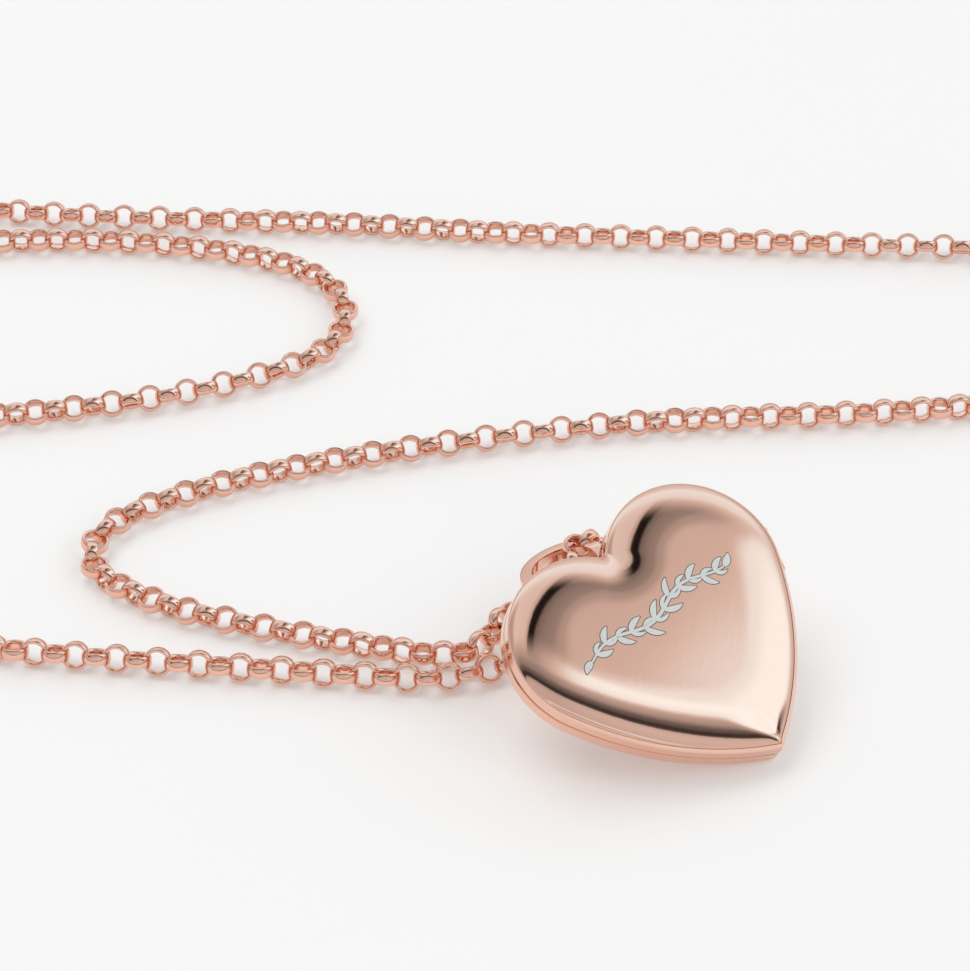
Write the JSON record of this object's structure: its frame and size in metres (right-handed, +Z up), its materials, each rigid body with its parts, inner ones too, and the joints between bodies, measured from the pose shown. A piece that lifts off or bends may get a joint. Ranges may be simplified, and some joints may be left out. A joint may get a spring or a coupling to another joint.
{
  "type": "heart locket",
  "caption": "Heart-shaped hinged locket with a puffed ring bail on a round-link belcher chain with a bolt-ring clasp.",
  "frame": {"origin": "on the table, under the middle of the box round the locket and its bail", "axes": "+Z up; +X to the right and +Y away, seen from the side that the cover faces"},
  "size_m": [0.1106, 0.0674, 0.0108],
  "materials": {
    "rose_gold_cover": "polished rose gold",
    "rose_gold_back": "polished rose gold",
    "liner_metal": "satin rose gold",
    "photo_card": "blank card",
    "clear_window": "clear acetate sheet",
    "frame_metal": "polished rose gold",
    "hinge_metal": "polished rose gold",
    "catch_metal": "polished rose gold",
    "bail_metal": "polished rose gold",
    "chain_metal": "polished rose gold",
    "clasp_metal": "polished rose gold",
    "spring_steel": "drawn wire"
  },
  "bodies": {
    "necklace": {"chain_front_strand": "chain_metal", "chain_back_strand": "chain_metal", "clasp_link_ring": "chain_metal", "end_link_ring": "chain_metal", "bolt_ring_case": "clasp_metal", "bolt_ring_eye": "clasp_metal", "bolt_ring_spring": "spring_steel"},
    "clasp_latch": {"bolt_ring_latch": "clasp_metal"},
    "bail": {"bail": "bail_metal"},
    "locket_back": {"back_shell": "rose_gold_back", "back_liner_plate": "liner_metal", "back_photo_card": "photo_card", "back_window": "clear_window", "back_photo_frame": "frame_metal", "hinge_knuckle_back_upper": "hinge_metal", "hinge_knuckle_back_lower": "hinge_metal", "hinge_pin": "hinge_metal", "catch_rim": "catch_metal", "pendant_loop": "bail_metal"},
    "front_cover": {"front_shell": "rose_gold_cover", "front_liner_plate": "liner_metal", "front_photo_card": "photo_card", "front_window": "clear_window", "front_photo_frame": "frame_metal", "hinge_knuckle_front": "hinge_metal"}
  },
  "joints": [
    {"name": "bail_swing", "type": "hinge", "parent": "necklace", "child": "bail", "pos_m": [-0.0054, 0.0054, 0.0054], "axis": [-0.081, -0.4457, -0.8915], "range_deg": [0, 12]},
    {"name": "pendant_swing", "type": "hinge", "parent": "bail", "child": "locket_back", "pos_m": [-0.00375, 0.00347, 0.00651], "axis": [-0.6911, -0.7174, -0.0881], "range_deg": [0, 50]},
    {"name": "cover_hinge", "type": "hinge", "parent": "locket_back", "child": "front_cover", "pos_m": [0.00805, 0.00636, 0.00662], "axis": [-0.3767, 0.8065, 0.4558], "range_deg": [0, 140]},
    {"name": "latch_slide", "type": "hinge", "parent": "necklace", "child": "clasp_latch", "pos_m": [-0.0655, 0.0544, 0.00145], "axis": [0, 0, -1], "range_deg": [0, 38], "stiffness_Nm_per_rad": 0.00002}
  ]
}
